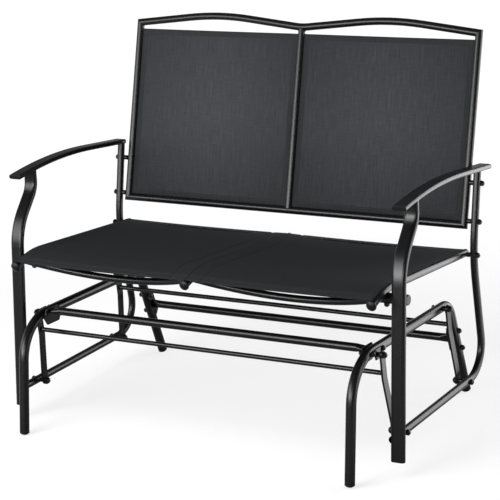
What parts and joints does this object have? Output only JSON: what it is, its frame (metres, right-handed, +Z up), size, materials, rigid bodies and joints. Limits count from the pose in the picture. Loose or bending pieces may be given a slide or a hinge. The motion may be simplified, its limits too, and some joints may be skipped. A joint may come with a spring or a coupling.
{
  "type": "glider bench",
  "caption": "Two-seat steel glider bench with sling seat and back, flat armrests and a seat frame hung on swinging straps from a floor-standing base.",
  "frame": {"origin": "on the floor, under the middle of the bench's bounding box", "axes": "+X across the bench to the right of a person looking at its front, +Y from the front to the rear, +Z up"},
  "size_m": [1.092, 0.7548, 0.9284],
  "materials": {
    "powder_coated_steel": "satin black powder coat on bent steel tube",
    "sling_fabric": "charcoal woven vinyl-coated polyester sling",
    "black_plastic": "moulded black plastic caps and plugs",
    "bush_plastic": "black nylon bushes",
    "hem_rod_plastic": "extruded round plastic rod inside the hems",
    "black_fasteners": "black zinc plated steel"
  },
  "bodies": {
    "base": {"base_side_tube_left": "powder_coated_steel", "base_side_tube_right": "powder_coated_steel", "base_foot_plugs": "black_plastic", "front_cross_tube": "powder_coated_steel", "rear_cross_tube": "powder_coated_steel", "front_cross_plates": "powder_coated_steel", "rear_cross_plates": "powder_coated_steel", "cross_tube_bolts": "black_fasteners", "cross_tube_nuts": "black_fasteners", "front_pivot_lugs": "powder_coated_steel", "upper_pivot_bolts": "black_fasteners", "upper_pivot_spacers": "black_fasteners", "upper_pivot_nuts": "black_fasteners"},
    "front_links": {"front_strap_left": "powder_coated_steel", "front_strap_right": "powder_coated_steel", "front_link_rod": "powder_coated_steel", "front_strap_bushes": "bush_plastic"},
    "rear_links": {"rear_strap_left": "powder_coated_steel", "rear_strap_right": "powder_coated_steel", "rear_link_rod": "powder_coated_steel", "rear_strap_bushes": "bush_plastic"},
    "seat": {"lower_pivot_bolts": "black_fasteners", "lower_pivot_spacers": "black_fasteners", "lower_pivot_nuts": "black_fasteners", "armrest_left": "powder_coated_steel", "armrest_right": "powder_coated_steel", "armrest_end_plugs": "black_plastic", "front_leg_left": "powder_coated_steel", "front_leg_right": "powder_coated_steel", "front_leg_plugs": "black_plastic", "rear_upright_left": "powder_coated_steel", "rear_upright_right": "powder_coated_steel", "frame_bolts": "black_fasteners", "frame_spacers": "black_fasteners", "seat_side_rail_left": "powder_coated_steel", "seat_side_rail_right": "powder_coated_steel", "seat_middle_rail": "powder_coated_steel", "seat_rear_bars": "powder_coated_steel", "seat_rail_end_caps": "black_plastic", "seat_bow_bar_left": "powder_coated_steel", "seat_bow_bar_right": "powder_coated_steel", "seat_stubs": "powder_coated_steel", "seat_stub_caps": "black_plastic", "seat_stub_bolts": "black_fasteners", "seat_stub_nuts": "black_fasteners", "back_top_rail": "powder_coated_steel", "back_side_rail_left": "powder_coated_steel", "back_side_rail_right": "powder_coated_steel", "back_bottom_rail": "powder_coated_steel", "back_middle_post": "powder_coated_steel", "back_panel_left": "sling_fabric", "back_panel_right": "sling_fabric", "back_hem_rods": "hem_rod_plastic", "seat_panel_left": "sling_fabric", "seat_panel_right": "sling_fabric", "seat_hem_rods": "hem_rod_plastic"}
  },
  "joints": [
    {"name": "glide", "type": "hinge", "parent": "base", "child": "front_links", "pos_m": [0, -0.2232, 0.272], "axis": [1, 0, 0], "range_deg": [-18, 18]},
    {"name": "rear_link_swing", "type": "hinge", "parent": "base", "child": "rear_links", "pos_m": [0, 0.1346, 0.267], "axis": [1, 0, 0], "range_deg": [-18, 18]},
    {"name": "seat_carry", "type": "hinge", "parent": "front_links", "child": "seat", "pos_m": [0, -0.2082, 0.084], "axis": [1, 0, 0], "range_deg": [-18, 18]}
  ],
  "couplings": [
    {"joint": "rear_link_swing", "follows": "glide", "ratio": 1},
    {"joint": "seat_carry", "follows": "glide", "ratio": -1}
  ]
}
